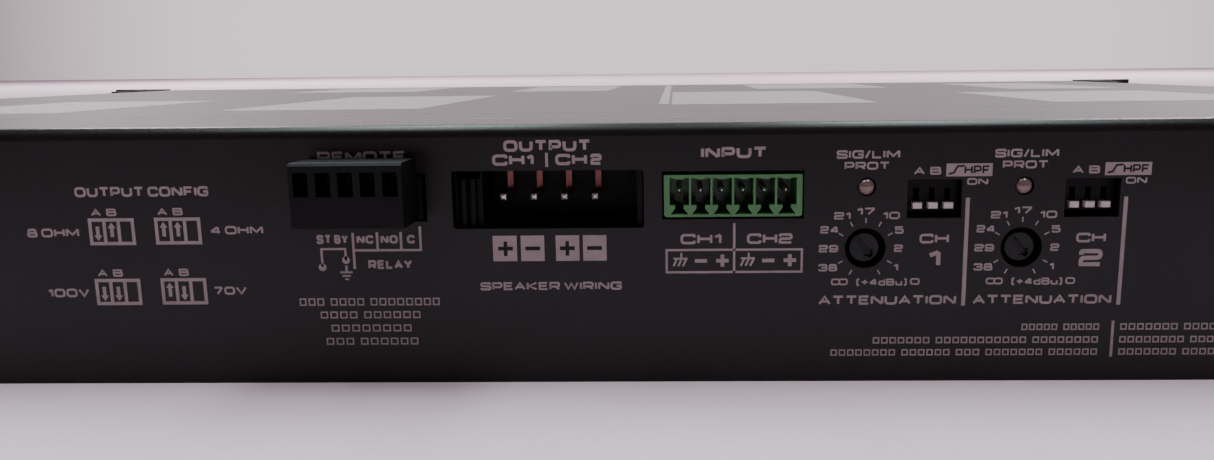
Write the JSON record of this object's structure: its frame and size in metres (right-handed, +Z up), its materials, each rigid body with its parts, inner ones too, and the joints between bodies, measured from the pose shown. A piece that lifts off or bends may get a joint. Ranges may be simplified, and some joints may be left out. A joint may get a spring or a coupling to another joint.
{
  "type": "power amplifier",
  "caption": "Black one-unit-high rack power amplifier with terminal connectors, slotted level controls and slide selectors on a folded steel back panel",
  "frame": {"origin": "bottom centre of the whole unit's box: x at the body's middle, z at the base", "axes": "+Z up, -Y out of the front panel, +Y out of the connector panel, +X to the right as seen from the front; rack ears spread along X"},
  "size_m": [0.4826, 0.3096, 0.044],
  "materials": {
    "powder_coat": "fine-textured black powder coat",
    "anodised_black": "satin black",
    "black_screw": "black oxide",
    "zinc_steel": "bright zinc",
    "circuit_board": "solder-masked laminate",
    "green_plastic": "moulded, semi-gloss green",
    "tinned_pin": "tin plated",
    "black_plastic": "moulded black",
    "copper_pin": "copper alloy, lightly tinned",
    "lamp_lens": "smoked diffused lens",
    "dark_plastic": "moulded dark grey",
    "rotor_plastic": "moulded dark grey rotor",
    "white_plastic": "moulded white",
    "fuse_ceramic": "ceramic tube",
    "choke_winding": "enamelled copper wire",
    "yellow_plastic": "moulded yellow",
    "capacitor_sleeve": "shrink sleeve",
    "ferrite": "sintered ferrite",
    "winding_tape": "polyester tape",
    "bare_aluminium": "extruded",
    "red_film": "epoxy dipped film",
    "relay_case": "sealed relay case",
    "indicator_lens": "clear tinted lens",
    "button_plastic": "moulded button"
  },
  "bodies": {
    "amplifier": {"main_chassis": "powder_coat", "bottom_cover": "powder_coat", "front_panel": "anodised_black", "rack_ear_left": "powder_coat", "rack_ear_right": "powder_coat", "ear_screws": "black_screw", "cover_screws": "black_screw", "main_board": "circuit_board", "board_standoffs": "zinc_steel", "board_screws": "zinc_steel", "input_header": "green_plastic", "input_pins": "tinned_pin", "remote_header": "black_plastic", "remote_pins": "tinned_pin", "output_header": "black_plastic", "output_pins": "copper_pin", "status_lamps": "lamp_lens", "lamp_holders": "black_plastic", "attenuator_bodies": "dark_plastic", "selector_bodies": "black_plastic", "mains_inlet": "black_plastic", "inlet_contacts": "tinned_pin", "inlet_screws": "black_screw", "mains_fuse": "fuse_ceramic", "fuse_clips": "tinned_pin", "filter_choke": "choke_winding", "suppression_capacitors": "yellow_plastic", "bridge_rectifier": "dark_plastic", "bulk_capacitors": "capacitor_sleeve", "transformer_core": "ferrite", "transformer_winding": "winding_tape", "supply_heatsink": "bare_aluminium", "output_heatsink": "bare_aluminium", "power_transistors": "dark_plastic", "output_inductors": "ferrite", "output_capacitors": "red_film", "output_relays": "relay_case", "remote_relay": "relay_case", "control_chips": "dark_plastic", "front_board": "circuit_board", "board_link": "black_plastic", "front_indicators": "indicator_lens", "power_switch": "dark_plastic"},
    "remote_plug_body": {"remote_plug": "black_plastic", "plug_screws": "zinc_steel", "plug_clamps": "black_screw"},
    "attenuator_ch1": {"attenuator_rotor_ch1": "rotor_plastic"},
    "attenuator_ch2": {"attenuator_rotor_ch2": "rotor_plastic"},
    "selector_ch1_a_body": {"selector_ch1_a": "white_plastic"},
    "selector_ch1_b_body": {"selector_ch1_b": "white_plastic"},
    "selector_ch1_filter_body": {"selector_ch1_filter": "white_plastic"},
    "selector_ch2_a_body": {"selector_ch2_a": "white_plastic"},
    "selector_ch2_b_body": {"selector_ch2_b": "white_plastic"},
    "selector_ch2_filter_body": {"selector_ch2_filter": "white_plastic"},
    "power_button_body": {"power_button": "button_plastic"}
  },
  "joints": [
    {"name": "remote_plug_pull", "type": "slide", "parent": "amplifier", "child": "remote_plug_body", "axis": [0, 1, 0], "range_m": [0, 0.012]},
    {"name": "attenuator_ch1_turn", "type": "hinge", "parent": "amplifier", "child": "attenuator_ch1", "pos_m": [-0.059, 0.14625, 0.02275], "axis": [0, 1, 0], "range_deg": [-10, 280]},
    {"name": "attenuator_ch2_turn", "type": "hinge", "parent": "amplifier", "child": "attenuator_ch2", "pos_m": [-0.0844, 0.14625, 0.02275], "axis": [0, 1, 0], "range_deg": [-10, 280]},
    {"name": "selector_ch1_a_slide", "type": "slide", "parent": "amplifier", "child": "selector_ch1_a_body", "axis": [0, 0, 1], "range_m": [0, 0.0022]},
    {"name": "selector_ch1_b_slide", "type": "slide", "parent": "amplifier", "child": "selector_ch1_b_body", "axis": [0, 0, 1], "range_m": [0, 0.0022]},
    {"name": "selector_ch1_filter_slide", "type": "slide", "parent": "amplifier", "child": "selector_ch1_filter_body", "axis": [0, 0, 1], "range_m": [0, 0.0022]},
    {"name": "selector_ch2_a_slide", "type": "slide", "parent": "amplifier", "child": "selector_ch2_a_body", "axis": [0, 0, 1], "range_m": [0, 0.0022]},
    {"name": "selector_ch2_b_slide", "type": "slide", "parent": "amplifier", "child": "selector_ch2_b_body", "axis": [0, 0, 1], "range_m": [0, 0.0022]},
    {"name": "selector_ch2_filter_slide", "type": "slide", "parent": "amplifier", "child": "selector_ch2_filter_body", "axis": [0, 0, 1], "range_m": [0, 0.0022]},
    {"name": "power_button_press", "type": "slide", "parent": "amplifier", "child": "power_button_body", "axis": [0, 1, 0], "range_m": [0, 0.0015], "stiffness_N_per_m": 300}
  ]
}
